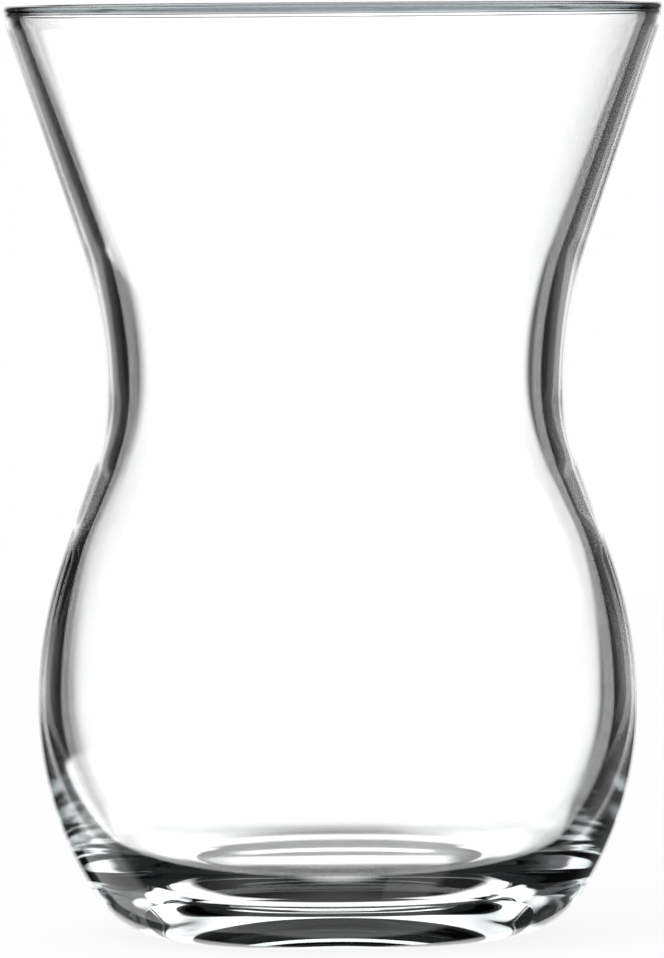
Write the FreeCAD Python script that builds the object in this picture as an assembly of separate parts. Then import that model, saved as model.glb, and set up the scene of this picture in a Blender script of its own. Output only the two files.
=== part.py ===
"""A Turkish tea glass: one piece of clear glass, empty.

The glass is a solid of revolution about +Z, standing on Z = 0 with its axis through the origin.
From the mouth down it is a straight flare, a narrow waist, a full belly and a heavy base.
Its outside and its inside are the same run of tangent arcs and lines, each with its own sizes:

    lip corner, mouth turn, flare line, waist arcs, shoulder line, belly arcs, heel or corner arc

The wall is thin at the mouth, thicker at the waist and thickest where it turns into the base.
The foot is a narrow flat ring round a shallow domed push-up. All sizes are in millimetres.
"""

import FreeCAD, Part

import math
import os
from collections import namedtuple

# The whole glass
HEIGHT = 90.6
MOUTH_RADIUS = 32.0

# Its lip: a low fire-polished bead with rounded corners, a little wider than the wall under it
LIP_WIDTH = 1.75
LIP_RADIUS = 0.42
LIP_BLEND_RADIUS = 0.8

# The bend, along the wall's middle, that turns the flare upright just under the lip
MOUTH_TURN = 4.0

# The outside
WAIST_RADIUS = 22.15
WAIST_HEIGHT = 52.4
BELLY_RADIUS = 29.15
BELLY_HEIGHT = 22.5
BELLY_LOWER_ARC = 33.9
HEEL_ARC = 9.1

# The wall, and how far the inside's narrowest and widest rings are above those of the outside
MOUTH_WALL = 1.48
WAIST_WALL = 2.1
BELLY_WALL = 2.15
INNER_WAIST_RISE = 1.4
INNER_BELLY_RISE = 0.8
INNER_BELLY_LOWER_ARC = 25.3
INNER_CORNER_ARC = 10.5

# How steeply the straight stretches lean, as a multiple (1 to 2) of the lean of a straight run
# between the rings at their ends: from 1, one long line, to 2, arcs with no line between them
FLARE_LEAN = 1.4
INNER_FLARE_LEAN = 1.19
SHOULDER_LEAN = 1.5
INNER_SHOULDER_LEAN = 1.77

# The part of the shoulder's rounding that is at the waist; the rest is at the belly
WAIST_SHARE = 0.28
INNER_WAIST_SHARE = 0.33

# The base
FLOOR_HEIGHT = 5.4
FLOOR_DISH = 0.5
FOOT_RING_WIDTH = 1.3
PUSH_UP_BLEND = 0.7
PUSH_UP_DEPTH = 1.5

SIZES = "waist_r waist_z flare_lean shoulder_lean waist_share belly_r belly_z lower_arc corner_arc floor_z"
Side = namedtuple("Side", "away " + SIZES)

OUTSIDE = Side(
    away=1,
    waist_r=WAIST_RADIUS,
    waist_z=WAIST_HEIGHT,
    flare_lean=FLARE_LEAN,
    shoulder_lean=SHOULDER_LEAN,
    waist_share=WAIST_SHARE,
    belly_r=BELLY_RADIUS,
    belly_z=BELLY_HEIGHT,
    lower_arc=BELLY_LOWER_ARC,
    corner_arc=HEEL_ARC,
    floor_z=0.0,
)

INSIDE = Side(
    away=-1,
    waist_r=WAIST_RADIUS - WAIST_WALL,
    waist_z=WAIST_HEIGHT + INNER_WAIST_RISE,
    flare_lean=INNER_FLARE_LEAN,
    shoulder_lean=INNER_SHOULDER_LEAN,
    waist_share=INNER_WAIST_SHARE,
    belly_r=BELLY_RADIUS - BELLY_WALL,
    belly_z=BELLY_HEIGHT + INNER_BELLY_RISE,
    lower_arc=INNER_BELLY_LOWER_ARC,
    corner_arc=INNER_CORNER_ARC,
    floor_z=FLOOR_HEIGHT,
)

LIP_CENTRE = (MOUTH_RADIUS - LIP_WIDTH / 2, HEIGHT - LIP_RADIUS)


def on_circle(centre, radius, angle):
    """The point of a circle in the (r, z) plane at an angle from the +r direction."""
    return centre[0] + radius * math.cos(angle), centre[1] + radius * math.sin(angle)


def vector(point):
    return FreeCAD.Vector(point[0], 0.0, point[1])


def line(start, end):
    return Part.LineSegment(vector(start), vector(end)).toShape()


def arc(centre, radius, from_angle, to_angle):
    angles = (from_angle, (from_angle + to_angle) / 2, to_angle)
    return Part.Arc(*[vector(on_circle(centre, radius, angle)) for angle in angles]).toShape()


def arcs_total(run, drop, lean):
    """The radii, added up, of the arcs that turn from upright into a line with this lean and back
    to upright, while the whole goes run across and drop along the axis. With the end left on the
    line, it is the radius of the one arc at its start."""
    return (drop * math.sin(lean) - run * math.cos(lean)) / (1 - math.cos(lean))


def flare_angle(side):
    run = LIP_CENTRE[0] - side.waist_r
    return side.flare_lean * math.atan2(run, LIP_CENTRE[1] - side.waist_z)


def lip_edges(side):
    """The lip's rounded corner, and the hollow arc that blends it into the wall, which is upright
    there; and the height at which the blend ends."""
    square = 0.0 if side.away > 0 else math.pi
    reach = LIP_RADIUS + LIP_BLEND_RADIUS
    overhang = (LIP_WIDTH - MOUTH_WALL) / 2
    corner = LIP_CENTRE[0] + side.away * (LIP_WIDTH / 2 - LIP_RADIUS), LIP_CENTRE[1]
    joint = square - side.away * math.acos((reach - overhang) / reach)
    blend_centre = on_circle(corner, reach, joint)
    edges = [
        arc(corner, LIP_RADIUS, math.pi / 2, joint),
        arc(blend_centre, LIP_BLEND_RADIUS, joint + math.pi, square + math.pi),
    ]
    return edges, blend_centre[1]


def lip_crown():
    """The flat top of the lip, from its inner corner to its outer."""
    half_flat = LIP_WIDTH / 2 - LIP_RADIUS
    return line((LIP_CENTRE[0] - half_flat, HEIGHT), (LIP_CENTRE[0] + half_flat, HEIGHT))


def flare_edges(side, turn_z):
    """The mouth turn, the flare line, and the arc that brings the flare upright at the waist."""
    lean = flare_angle(side)
    turn_centre = LIP_CENTRE[0] - MOUTH_TURN, turn_z
    turn_radius = MOUTH_TURN + side.away * MOUTH_WALL / 2
    top = on_circle(turn_centre, turn_radius, -lean)
    radius = arcs_total(top[0] - side.waist_r, top[1] - side.waist_z, lean)
    centre = side.waist_r + radius, side.waist_z
    return [
        arc(turn_centre, turn_radius, 0.0, -lean),
        line(top, on_circle(centre, radius, math.pi - lean)),
        arc(centre, radius, math.pi - lean, math.pi),
    ]


def shoulder_edges(side):
    """From the waist out and down to the belly: an arc, a line and an arc."""
    run, drop = side.belly_r - side.waist_r, side.waist_z - side.belly_z
    lean = side.shoulder_lean * math.atan2(run, drop)
    total = arcs_total(run, drop, lean)
    waist_arc, belly_arc = total * side.waist_share, total * (1 - side.waist_share)
    waist_centre = side.waist_r + waist_arc, side.waist_z
    belly_centre = side.belly_r - belly_arc, side.belly_z
    line_top = on_circle(waist_centre, waist_arc, math.pi + lean)
    line_foot = on_circle(belly_centre, belly_arc, lean)
    return [
        arc(waist_centre, waist_arc, math.pi, math.pi + lean),
        line(line_top, line_foot),
        arc(belly_centre, belly_arc, lean, 0.0),
    ]


def belly_edges(side):
    """From the belly down: a wide arc, then a tighter one that comes in level with the floor."""
    centre = side.belly_r - side.lower_arc, side.belly_z
    step = side.lower_arc - side.corner_arc
    corner_z = side.floor_z + side.corner_arc
    turn = math.asin((side.belly_z - corner_z) / step)
    corner_centre = centre[0] + step * math.cos(turn), corner_z
    edges = [
        arc(centre, side.lower_arc, 0.0, -turn),
        arc(corner_centre, side.corner_arc, -turn, -math.pi / 2),
    ]
    return edges, (corner_centre[0], side.floor_z)


def wall_edges(side):
    """One side of the glass, from the top of the lip to the foot or to the inside's floor."""
    edges, turn_z = lip_edges(side)
    edges += flare_edges(side, turn_z) + shoulder_edges(side)
    belly, last = belly_edges(side)
    return edges + belly, last


def dome(edge, rise):
    """A shallow arc from a point to the axis, which it meets square on, rise above the point."""
    radius = (edge[0] ** 2 + rise**2) / (2 * rise)
    centre = 0.0, edge[1] + rise - radius
    start = math.atan2(edge[1] - centre[1], edge[0])
    top = math.copysign(math.pi / 2, rise)
    return arc(centre, abs(radius), start, top), (0.0, edge[1] + rise)


def foot_edges(ring_edge):
    """The flat foot ring, the rounded step up from it, and the push-up's dome, which leaves the
    step at the slope that it has there."""
    inner = ring_edge[0] - FOOT_RING_WIDTH, 0.0
    slope = 2 * math.atan(PUSH_UP_DEPTH / inner[0])
    step_centre = inner[0], PUSH_UP_BLEND
    step_end = on_circle(step_centre, PUSH_UP_BLEND, -math.pi / 2 - slope)
    dome_arc, crown = dome(step_end, step_end[0] * math.tan(slope / 2))
    step = arc(step_centre, PUSH_UP_BLEND, -math.pi / 2, -math.pi / 2 - slope)
    return [line(ring_edge, inner), step, dome_arc], crown


def glass():
    outside, ring_edge = wall_edges(OUTSIDE)
    inside, floor_edge = wall_edges(INSIDE)
    foot, push_up_crown = foot_edges(ring_edge)
    floor, floor_middle = dome(floor_edge, -FLOOR_DISH)
    middle = line(push_up_crown, floor_middle)
    profile = Part.Wire(outside + foot + [middle, floor] + inside[::-1] + [lip_crown()])
    return Part.Face(profile).revolve(FreeCAD.Vector(0, 0, 0), FreeCAD.Vector(0, 0, 1), 360)


def main():
    os.makedirs("parts", exist_ok=True)
    solid = glass()
    solid.exportStep("parts/glass.step")
    print("glass:", "valid" if solid.isValid() else "not valid", round(solid.Volume), "mm3")


main()
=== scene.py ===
"""A Turkish tea glass, standing empty on a pale table under plain soft light.

The glass is drawn as one closed profile, from the crown of its lip round its outside, its foot and
its inside, and spun about its axis. All lengths are in metres.
"""

import math

import bpy
from mathutils import Matrix, Vector

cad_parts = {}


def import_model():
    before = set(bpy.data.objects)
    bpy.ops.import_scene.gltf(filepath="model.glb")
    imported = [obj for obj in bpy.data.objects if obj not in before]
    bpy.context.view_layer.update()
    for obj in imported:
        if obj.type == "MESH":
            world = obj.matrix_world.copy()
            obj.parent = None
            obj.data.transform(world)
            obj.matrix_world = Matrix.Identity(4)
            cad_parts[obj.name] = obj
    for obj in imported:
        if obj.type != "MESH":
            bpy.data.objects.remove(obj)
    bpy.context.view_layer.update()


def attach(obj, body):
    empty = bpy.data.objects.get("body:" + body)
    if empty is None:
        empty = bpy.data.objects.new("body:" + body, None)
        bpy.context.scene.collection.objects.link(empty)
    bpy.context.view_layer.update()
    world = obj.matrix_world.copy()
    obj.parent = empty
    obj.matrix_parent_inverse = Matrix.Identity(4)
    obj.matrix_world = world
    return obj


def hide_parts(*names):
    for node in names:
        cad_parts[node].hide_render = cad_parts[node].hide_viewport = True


MM = 0.001
UP = (0.0, 0.0, 1.0)

# The whole glass
HEIGHT = 90.6 * MM
MOUTH_RADIUS = 32.0 * MM

# Its lip, and the bend that turns the flare upright just under it
LIP_WIDTH = 1.75 * MM
LIP_RADIUS = 0.42 * MM
LIP_BLEND_RADIUS = 0.8 * MM
LIP_CENTRE = (MOUTH_RADIUS - LIP_WIDTH / 2, HEIGHT - LIP_RADIUS)
MOUTH_WALL = 1.48 * MM
MOUTH_TURN = 4.0 * MM

# Its outside and its inside, in the order in which a side is drawn
OUTSIDE = {
    "away": 1,
    "waist_r": 22.15 * MM,
    "waist_z": 52.4 * MM,
    "flare_lean": 1.4,
    "shoulder_lean": 1.5,
    "waist_share": 0.28,
    "belly_r": 29.15 * MM,
    "belly_z": 22.5 * MM,
    "lower_arc": 33.9 * MM,
    "corner_arc": 9.1 * MM,
    "floor_z": 0.0,
}
INSIDE = {
    "away": -1,
    "waist_r": 20.05 * MM,
    "waist_z": 53.8 * MM,
    "flare_lean": 1.19,
    "shoulder_lean": 1.77,
    "waist_share": 0.33,
    "belly_r": 27.0 * MM,
    "belly_z": 23.3 * MM,
    "lower_arc": 25.3 * MM,
    "corner_arc": 10.5 * MM,
    "floor_z": 5.4 * MM,
}

# Its base
FLOOR_DISH = 0.5 * MM
FOOT_RING_WIDTH = 1.3 * MM
PUSH_UP_BLEND = 0.7 * MM
PUSH_UP_DEPTH = 1.5 * MM

# How finely it is drawn
LINE_STEP = 5.0 * MM
ARC_STEP = 0.8 * MM
TURN_STEP = math.radians(5.0)
SPIN_STEPS = 320
LEAST_ARC_STEPS = 2
SHORTEST_LINE = MM / 1000
MERGE_DISTANCE = MM / 500


def on_circle(centre, radius, angle):
    return centre[0] + radius * math.cos(angle), centre[1] + radius * math.sin(angle)


def arcs_total(run, drop, lean):
    """The radii, added up, of the arcs that turn from upright into a line with this lean and back."""
    return (drop * math.sin(lean) - run * math.cos(lean)) / (1 - math.cos(lean))


def flare_angle(side):
    run = LIP_CENTRE[0] - side["waist_r"]
    return side["flare_lean"] * math.atan2(run, LIP_CENTRE[1] - side["waist_z"])


def lip_strokes(side):
    """The lip's rounded corner and the hollow arc that blends it into the upright wall."""
    square = 0.0 if side["away"] > 0 else math.pi
    corner = (LIP_CENTRE[0] + side["away"] * (LIP_WIDTH / 2 - LIP_RADIUS), LIP_CENTRE[1])
    reach = LIP_RADIUS + LIP_BLEND_RADIUS
    overhang = (LIP_WIDTH - MOUTH_WALL) / 2
    joint = square - side["away"] * math.acos((reach - overhang) / reach)
    return [
        (corner, LIP_RADIUS, math.pi / 2, joint),
        (on_circle(corner, reach, joint), LIP_BLEND_RADIUS, joint + math.pi, square + math.pi),
    ]


def flare_strokes(side, turn_z):
    """The mouth's turn and the arc at the waist, with the flare line between them."""
    lean = flare_angle(side)
    turn_centre = (LIP_CENTRE[0] - MOUTH_TURN, turn_z)
    turn_radius = MOUTH_TURN + side["away"] * MOUTH_WALL / 2
    top = on_circle(turn_centre, turn_radius, -lean)
    radius = arcs_total(top[0] - side["waist_r"], top[1] - side["waist_z"], lean)
    waist_centre = (side["waist_r"] + radius, side["waist_z"])
    return [
        (turn_centre, turn_radius, 0.0, -lean),
        (waist_centre, radius, math.pi - lean, math.pi),
    ]


def shoulder_strokes(side):
    run = side["belly_r"] - side["waist_r"]
    drop = side["waist_z"] - side["belly_z"]
    lean = side["shoulder_lean"] * math.atan2(run, drop)
    total = arcs_total(run, drop, lean)
    waist_arc = total * side["waist_share"]
    belly_arc = total - waist_arc
    return [
        ((side["waist_r"] + waist_arc, side["waist_z"]), waist_arc, math.pi, math.pi + lean),
        ((side["belly_r"] - belly_arc, side["belly_z"]), belly_arc, lean, 0.0),
    ]


def belly_strokes(side):
    centre = (side["belly_r"] - side["lower_arc"], side["belly_z"])
    step = side["lower_arc"] - side["corner_arc"]
    corner_z = side["floor_z"] + side["corner_arc"]
    turn = math.asin((side["belly_z"] - corner_z) / step)
    corner = (centre[0] + step * math.cos(turn), corner_z)
    return [
        (centre, side["lower_arc"], 0.0, -turn),
        (corner, side["corner_arc"], -turn, -math.pi / 2),
    ]


def side_strokes(side):
    lip = lip_strokes(side)
    turn_z = lip[-1][0][1]
    return lip + flare_strokes(side, turn_z) + shoulder_strokes(side) + belly_strokes(side)


def dome_stroke(edge, rise):
    """A shallow arc from a point to the axis, rise above the point, where it is level."""
    radius = (edge[0] ** 2 + rise**2) / (2 * rise)
    centre = (0.0, edge[1] + rise - radius)
    start = math.atan2(edge[1] - centre[1], edge[0])
    return (centre, abs(radius), start, math.copysign(math.pi / 2, rise))


def foot_strokes(ring_edge):
    inner = (ring_edge[0] - FOOT_RING_WIDTH, 0.0)
    slope = 2 * math.atan(PUSH_UP_DEPTH / inner[0])
    step_centre = (inner[0], PUSH_UP_BLEND)
    step_end = on_circle(step_centre, PUSH_UP_BLEND, -math.pi / 2 - slope)
    return [
        (step_centre, PUSH_UP_BLEND, -math.pi / 2, -math.pi / 2 - slope),
        dome_stroke(step_end, step_end[0] * math.tan(slope / 2)),
    ]


def stroke_end(stroke):
    centre, radius, _, last = stroke
    return on_circle(centre, radius, last)


def reversed_stroke(stroke):
    centre, radius, first, last = stroke
    return (centre, radius, last, first)


def glass_strokes():
    """The closed profile, all arcs: the lines between them are drawn from one arc to the next."""
    outside = side_strokes(OUTSIDE)
    inside = side_strokes(INSIDE)
    foot = foot_strokes(stroke_end(outside[-1]))
    floor = dome_stroke(stroke_end(inside[-1]), -FLOOR_DISH)
    back = [reversed_stroke(stroke) for stroke in reversed(inside + [floor])]
    return outside + foot, back


def deselect_all():
    bpy.ops.object.select_all(action="DESELECT")


def add_point(point):
    """A new mesh of one selected point, in edit mode."""
    deselect_all()
    bpy.ops.mesh.primitive_plane_add(size=MM, location=(0.0, 0.0, 0.0))
    bpy.ops.object.mode_set(mode="EDIT")
    bpy.ops.mesh.select_all(action="SELECT")
    bpy.ops.mesh.merge(type="CENTER")
    bpy.ops.transform.translate(value=(point[0], 0.0, point[1]))


def draw_line(start, end):
    """Extrudes the selected point in even steps to the end."""
    run, rise = end[0] - start[0], end[1] - start[1]
    length = math.hypot(run, rise)
    if length < SHORTEST_LINE:
        return
    steps = max(1, round(length / LINE_STEP))
    for _ in range(steps):
        bpy.ops.mesh.extrude_region_move(
            TRANSFORM_OT_translate={"value": (run / steps, 0.0, rise / steps)}
        )


def draw_arc(stroke):
    """Spins the selected point about the arc's centre."""
    centre, radius, first, last = stroke
    turn = abs(last - first)
    steps = max(LEAST_ARC_STEPS, math.ceil(turn / TURN_STEP), round(radius * turn / ARC_STEP))
    bpy.ops.mesh.spin(
        steps=steps, angle=last - first, center=(centre[0], 0.0, centre[1]), axis=(0.0, 1.0, 0.0)
    )


def draw_strokes(strokes, point):
    for stroke in strokes:
        draw_line(point, on_circle(stroke[0], stroke[1], stroke[2]))
        draw_arc(stroke)
        point = stroke_end(stroke)


def make_glass():
    """The whole glass: its profile, spun about its axis and closed."""
    under, inside = glass_strokes()
    first = on_circle(under[0][0], under[0][1], under[0][2])
    floor_middle = on_circle(inside[0][0], inside[0][1], inside[0][2])
    add_point(first)
    draw_strokes(under, first)
    bpy.ops.object.mode_set(mode="OBJECT")
    outside_piece = bpy.context.object
    add_point(floor_middle)
    draw_strokes(inside, floor_middle)
    draw_line(stroke_end(inside[-1]), first)
    bpy.ops.object.mode_set(mode="OBJECT")
    piece = bpy.context.object
    outside_piece.select_set(True)
    bpy.ops.object.join()
    bpy.ops.object.mode_set(mode="EDIT")
    bpy.ops.mesh.select_all(action="SELECT")
    bpy.ops.mesh.spin(steps=SPIN_STEPS, angle=math.tau, center=(0.0, 0.0, 0.0), axis=UP)
    bpy.ops.mesh.select_all(action="SELECT")
    bpy.ops.mesh.remove_doubles(threshold=MERGE_DISTANCE)
    bpy.ops.mesh.normals_make_consistent(inside=False)
    bpy.ops.mesh.faces_shade_smooth()
    bpy.ops.object.mode_set(mode="OBJECT")
    piece.name = "tea_glass"
    piece.data.name = "tea_glass"
    return piece


# --- nodes ---


def new_material(name):
    material = bpy.data.materials.new(name)
    material.use_nodes = True
    material.node_tree.nodes.clear()
    return material, material.node_tree.nodes, material.node_tree.links


def math_node(tree, operation, *values):
    """A Math node fed with numbers and sockets; its result."""
    node = tree.nodes.new("ShaderNodeMath")
    node.operation = operation
    for socket, value in zip(node.inputs, values):
        if isinstance(value, (int, float)):
            socket.default_value = value
        else:
            tree.links.new(value, socket)
    return node.outputs[0]


def fade(tree, value, start, end, first=0.0, last=1.0):
    """Eases from first to last while the value goes from start to end."""
    node = tree.nodes.new("ShaderNodeMapRange")
    node.interpolation_type = "SMOOTHSTEP"
    for name, number in (("From Min", start), ("From Max", end), ("To Min", first), ("To Max", last)):
        node.inputs[name].default_value = number
    tree.links.new(value, node.inputs["Value"])
    return node.outputs[0]


def mixed(tree, factor, first, second):
    """Goes from the first number or socket to the second as the factor goes from 0 to 1."""
    node = tree.nodes.new("ShaderNodeMix")
    for socket, value in zip((node.inputs[0], node.inputs[2], node.inputs[3]), (factor, first, second)):
        if isinstance(value, (int, float)):
            socket.default_value = value
        else:
            tree.links.new(value, socket)
    return node.outputs[0]


# --- the glass's material ---

GLASS_IOR = 1.52
GLASS_COLOUR = (1.0, 1.0, 1.0, 1.0)

# Its flecks and its waves
FLECK_COLOUR = (0.955, 0.975, 0.98, 1.0)
FLECK_SCALE = 160.0
FLECK_DETAIL = 4.0
FLECK_RANGE = (0.6, 0.78)
WAVE_SCALE = 26.0
WAVE_DETAIL = 1.0
WAVE_STRETCH = 3.0
WAVE_HEIGHT = 0.03 * MM

# Its lip, painted grey as shade for the dark line its rounded edge shows, and its soft skin, with the
# heights over which each comes in or goes
LIP_PAINTED_SHADE = (0.24, 0.27, 0.28, 1.0)
LIP_FOOT = (HEIGHT - 0.72 * MM, HEIGHT - 0.55 * MM)
SOFT_ROUGHNESS = 0.05
SOFT_FOOT = (5.0 * MM, 9.0 * MM)
SOFT_TOP = (16.0 * MM, 24.0 * MM)

# The tint all through it
TINT_COLOUR = (0.62, 0.86, 0.92, 1.0)
TINT_DENSITY = 4.0


def noise_node(tree, place, scale, detail):
    node = tree.nodes.new("ShaderNodeTexNoise")
    node.inputs["Scale"].default_value = scale
    node.inputs["Detail"].default_value = detail
    tree.links.new(place, node.inputs["Vector"])
    return node.outputs[0]


def mixed_colour(tree, factor, first, second):
    node = tree.nodes.new("ShaderNodeMix")
    node.data_type = "RGBA"
    tree.links.new(factor, node.inputs[0])
    for socket, value in zip((node.inputs[6], node.inputs[7]), (first, second)):
        if isinstance(value, tuple):
            socket.default_value = value
        else:
            tree.links.new(value, socket)
    return node.outputs[2]


def glass_marks_and_lip_shade_group():
    """The marks of a pressed glass: waves drawn out along its height, faint cloudy flecks and a skin a
    little softer round the foot of the belly; and a lip painted grey as shade for its dark line."""
    tree = bpy.data.node_groups.new("glass_marks_and_lip_shade", "ShaderNodeTree")
    tree.interface.new_socket(name="Waves", in_out="OUTPUT", socket_type="NodeSocketVector")
    tree.interface.new_socket(name="Colour", in_out="OUTPUT", socket_type="NodeSocketColor")
    tree.interface.new_socket(name="Roughness", in_out="OUTPUT", socket_type="NodeSocketFloat")
    end = tree.nodes.new("NodeGroupOutput")
    place = tree.nodes.new("ShaderNodeTexCoord").outputs["Object"]
    parts = tree.nodes.new("ShaderNodeSeparateXYZ")
    tree.links.new(place, parts.inputs[0])
    height = parts.outputs["Z"]
    drawn = tree.nodes.new("ShaderNodeMapping")
    drawn.inputs["Scale"].default_value = (WAVE_STRETCH, WAVE_STRETCH, 1.0)
    tree.links.new(place, drawn.inputs["Vector"])
    bump = tree.nodes.new("ShaderNodeBump")
    bump.inputs["Distance"].default_value = WAVE_HEIGHT
    tree.links.new(noise_node(tree, drawn.outputs[0], WAVE_SCALE, WAVE_DETAIL), bump.inputs["Height"])
    tree.links.new(bump.outputs[0], end.inputs["Waves"])
    flecks = fade(tree, noise_node(tree, place, FLECK_SCALE, FLECK_DETAIL), *FLECK_RANGE)
    clear = mixed_colour(tree, flecks, GLASS_COLOUR, FLECK_COLOUR)
    # Painted shade: near the top the base colour eases to grey, for the dark line the rounded lip shows
    colour = mixed_colour(tree, fade(tree, height, *LIP_FOOT), clear, LIP_PAINTED_SHADE)
    tree.links.new(colour, end.inputs["Colour"])
    low = fade(tree, height, *SOFT_FOOT, 0.0, SOFT_ROUGHNESS)
    soft = math_node(tree, "MULTIPLY", low, fade(tree, height, *SOFT_TOP, 1.0, 0.0))
    tree.links.new(soft, end.inputs["Roughness"])
    return tree


def glass_material():
    material, nodes, links = new_material("clear_glass")
    output = nodes.new("ShaderNodeOutputMaterial")
    shader = nodes.new("ShaderNodeBsdfPrincipled")
    shader.inputs["IOR"].default_value = GLASS_IOR
    shader.inputs["Transmission Weight"].default_value = 1.0
    marks = nodes.new("ShaderNodeGroup")
    marks.node_tree = glass_marks_and_lip_shade_group()
    links.new(marks.outputs["Colour"], shader.inputs["Base Color"])
    links.new(marks.outputs["Waves"], shader.inputs["Normal"])
    links.new(marks.outputs["Roughness"], shader.inputs["Roughness"])
    links.new(shader.outputs["BSDF"], output.inputs["Surface"])
    tint = nodes.new("ShaderNodeVolumeAbsorption")
    tint.inputs["Color"].default_value = TINT_COLOUR
    tint.inputs["Density"].default_value = TINT_DENSITY
    links.new(tint.outputs[0], output.inputs["Volume"])
    return material


# --- table, light and camera ---

PLAIN_WHITE = 1.0

TABLE_RADIUS = 0.55
TABLE_SIDES = 96
TABLE_COLOUR = (0.8, 0.8, 0.8, 1.0)
# The share of plain white in what the camera sees of the table
SEEN_WHITE = 0.9

# The walls of the room as the glass shows them: white ahead on four sides and dark between them,
# with a little grey spilling past each wall's right-hand edge
LEFT_EDGE = (math.radians(-20.5), math.radians(-12.0))
RIGHT_EDGE = (math.radians(13.0), math.radians(16.5))
RIGHT_SPILL = (math.radians(20.0), math.radians(40.0))
SPILL = 0.1
CEILING_EDGE = (math.radians(19.0), math.radians(25.0))
# They end well below the level of the table; right under the glass it is white again
WALL_FOOT = (math.radians(-35.0), math.radians(-28.0))
UNDER_GLASS = (math.radians(-66.0), math.radians(-58.0))
# Two of the corners between the walls are white up to a level of their own, for raised views
CORNER_TOP_SOFT = math.radians(2.0)
FRONT_CORNER_TOP = math.radians(10.0)
BACK_CORNER_TOP = math.radians(-16.5)
CORNER_TURN = math.radians(-45.0)
WALLS_APART = math.radians(90.0)
CORNERS_APART = math.radians(180.0)
# The y of a ray's direction over which the front corner's top gives way to the back corner's
FRONT_TO_BACK = (-0.1, 0.1)
ROOM_DARK = 0.012
# Rays that have come through the glass see the room this much brighter than plain white. Its four
# faces alone would call for about 1.2; the rest is there to make its inside wholly white.
THROUGH_GLASS = 1.4


def table_material():
    """Pale paint that the camera sees mostly as plain white, with the glass's shadow on it. Rays
    that have met the glass pass through it to the room."""
    material, nodes, links = new_material("pale_table")
    tree = material.node_tree
    output = nodes.new("ShaderNodeOutputMaterial")
    paint = nodes.new("ShaderNodeBsdfDiffuse")
    paint.inputs["Color"].default_value = TABLE_COLOUR
    white = nodes.new("ShaderNodeEmission")
    white.inputs["Strength"].default_value = PLAIN_WHITE
    clear = nodes.new("ShaderNodeBsdfTransparent")
    path = nodes.new("ShaderNodeLightPath")
    plain = nodes.new("ShaderNodeMixShader")
    links.new(math_node(tree, "MULTIPLY", path.outputs["Is Camera Ray"], SEEN_WHITE), plain.inputs[0])
    links.new(paint.outputs[0], plain.inputs[1])
    links.new(white.outputs[0], plain.inputs[2])
    met = math_node(tree, "ADD", path.outputs["Is Glossy Ray"], path.outputs["Is Transmission Ray"])
    top = nodes.new("ShaderNodeMixShader")
    links.new(math_node(tree, "MINIMUM", met, 1.0), top.inputs[0])
    links.new(plain.outputs[0], top.inputs[1])
    links.new(clear.outputs[0], top.inputs[2])
    links.new(top.outputs[0], output.inputs["Surface"])
    return material


def make_table():
    deselect_all()
    bpy.ops.mesh.primitive_circle_add(
        vertices=TABLE_SIDES, radius=TABLE_RADIUS, fill_type="NGON", location=(0.0, 0.0, 0.0)
    )
    table = bpy.context.object
    table.name = "table"
    table.data.materials.append(table_material())


def walls(tree, azimuth, turn, apart):
    """The white of the walls that are this far apart, one of them at this turn from +Y."""
    shifted = math_node(tree, "ADD", azimuth, apart / 2 - turn)
    wrapped = math_node(tree, "FLOORED_MODULO", shifted, apart)
    off_middle = math_node(tree, "SUBTRACT", wrapped, apart / 2)
    wall = fade(tree, off_middle, *RIGHT_EDGE, 1.0 - SPILL, 0.0)
    spill = fade(tree, off_middle, *RIGHT_SPILL, SPILL, 0.0)
    left = fade(tree, off_middle, *LEFT_EDGE)
    return math_node(tree, "MULTIPLY", left, math_node(tree, "ADD", wall, spill))


def room_pattern(tree):
    """Walls ahead on four sides, two white corners between them, and white right underneath."""
    way = tree.nodes.new("ShaderNodeSeparateXYZ")
    tree.links.new(tree.nodes.new("ShaderNodeTexCoord").outputs["Generated"], way.inputs[0])
    x, y, z = way.outputs
    azimuth = math_node(tree, "ARCTAN2", x, y)
    upward = math_node(tree, "ARCSINE", z)
    ahead = walls(tree, azimuth, 0.0, WALLS_APART)
    ahead = math_node(tree, "MULTIPLY", ahead, fade(tree, upward, *WALL_FOOT))
    ahead = math_node(tree, "MULTIPLY", ahead, fade(tree, upward, *CEILING_EDGE, 1.0, 0.0))
    corners = walls(tree, azimuth, CORNER_TURN, CORNERS_APART)
    top = fade(tree, y, *FRONT_TO_BACK, FRONT_CORNER_TOP, BACK_CORNER_TOP)
    over = math_node(tree, "SUBTRACT", upward, top)
    corners = math_node(tree, "MULTIPLY", corners, fade(tree, over, -CORNER_TOP_SOFT, 0.0, 1.0, 0.0))
    white = math_node(tree, "MAXIMUM", ahead, corners)
    under = fade(tree, upward, *UNDER_GLASS, 1.0, 0.0)
    white = math_node(tree, "MAXIMUM", white, under)
    return math_node(tree, "MAXIMUM", white, ROOM_DARK)


def make_room():
    """Plain white to the camera, and soft even light for the table; to rays that have met the
    glass, the room, and a brighter one to those that have come through it."""
    world = bpy.data.worlds.new("room")
    bpy.context.scene.world = world
    world.use_nodes = True
    tree = world.node_tree
    tree.nodes.clear()
    output = tree.nodes.new("ShaderNodeOutputWorld")
    path = tree.nodes.new("ShaderNodeLightPath")
    room = room_pattern(tree)
    bright = math_node(tree, "MULTIPLY", room, THROUGH_GLASS)
    strength = mixed(tree, path.outputs["Is Glossy Ray"], PLAIN_WHITE, room)
    strength = mixed(tree, path.outputs["Is Transmission Ray"], strength, bright)
    background = tree.nodes.new("ShaderNodeBackground")
    background.inputs["Color"].default_value = (1.0, 1.0, 1.0, 1.0)
    tree.links.new(strength, background.inputs["Strength"])
    tree.links.new(background.outputs[0], output.inputs["Surface"])


LAMP_SIZE = 0.8
LAMP_WATTS = 6.0
LAMP_PLACE = (-0.5, -0.6, 1.2)
LAMP_AIM = (0.0, 0.0, 0.04)


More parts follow.
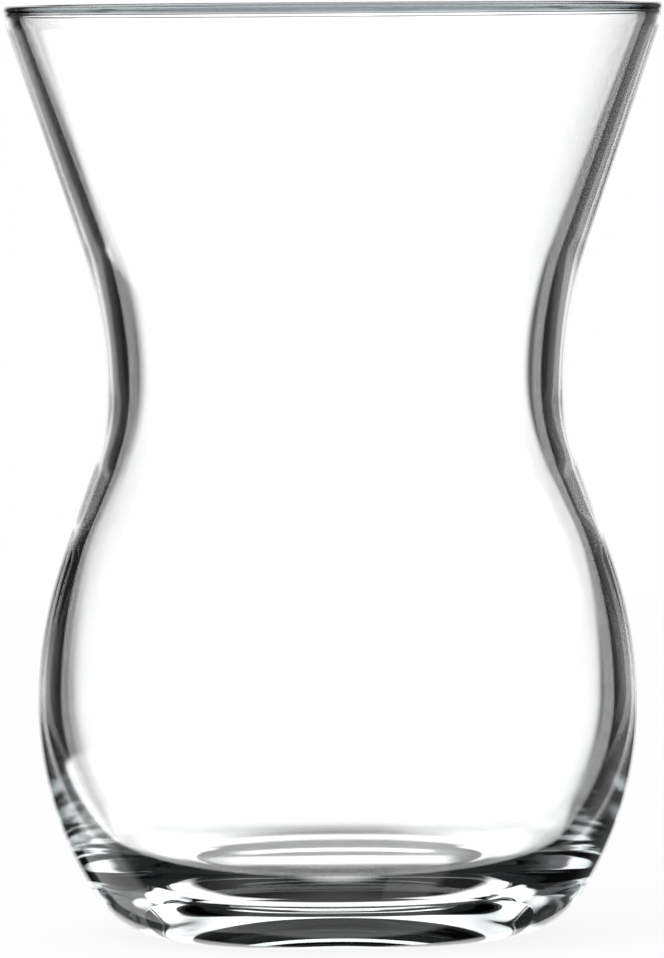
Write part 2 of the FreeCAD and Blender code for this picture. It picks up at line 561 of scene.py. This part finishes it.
def make_lamp():
    """A soft box above the table, which the glass does not show."""
    light = bpy.data.lights.new("soft_box", "AREA")
    light.shape = "DISK"
    light.size = LAMP_SIZE
    light.energy = LAMP_WATTS
    lamp = bpy.data.objects.new("soft_box", light)
    bpy.context.scene.collection.objects.link(lamp)
    lamp.location = LAMP_PLACE
    way = Vector(LAMP_AIM) - lamp.location
    lamp.rotation_euler = way.to_track_quat("-Z", "Y").to_euler()
    lamp.visible_glossy = False
    lamp.visible_transmission = False


CAMERA_DISTANCE = 1.05
CAMERA_HEIGHT = 0.0958
AIM = (-0.0004, 0.0, 0.0444)
VIEW_WIDTH = 0.0645
CAMERA_ROLL = math.radians(0.42)
SENSOR_WIDTH = 36.0
CLIP_START, CLIP_END = 0.05, 20.0

MAX_BOUNCES = 24
GLOSSY_BOUNCES = 16
TRANSMISSION_BOUNCES = 24


def make_camera():
    data = bpy.data.cameras.new("camera")
    data.sensor_fit = "HORIZONTAL"
    data.sensor_width = SENSOR_WIDTH
    data.lens = SENSOR_WIDTH * CAMERA_DISTANCE / VIEW_WIDTH
    data.clip_start = CLIP_START
    data.clip_end = CLIP_END
    camera = bpy.data.objects.new("camera", data)
    bpy.context.scene.collection.objects.link(camera)
    place = Vector((0.0, -CAMERA_DISTANCE, CAMERA_HEIGHT))
    aim = Vector(AIM)
    turn = (aim - place).to_track_quat("-Z", "Y").to_matrix().to_4x4()
    roll = Matrix.Rotation(-CAMERA_ROLL, 4, "Z")
    camera.matrix_world = Matrix.Translation(place) @ turn @ roll
    bpy.context.scene.camera = camera


def set_render():
    scene = bpy.context.scene
    scene.view_settings.view_transform = "Standard"
    scene.cycles.max_bounces = MAX_BOUNCES
    scene.cycles.glossy_bounces = GLOSSY_BOUNCES
    scene.cycles.transmission_bounces = TRANSMISSION_BOUNCES


def main():
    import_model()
    make_camera()
    make_table()
    make_room()
    make_lamp()
    set_render()
    glass = make_glass()
    glass.data.materials.append(glass_material())
    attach(glass, "root")
    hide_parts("glass")


main()
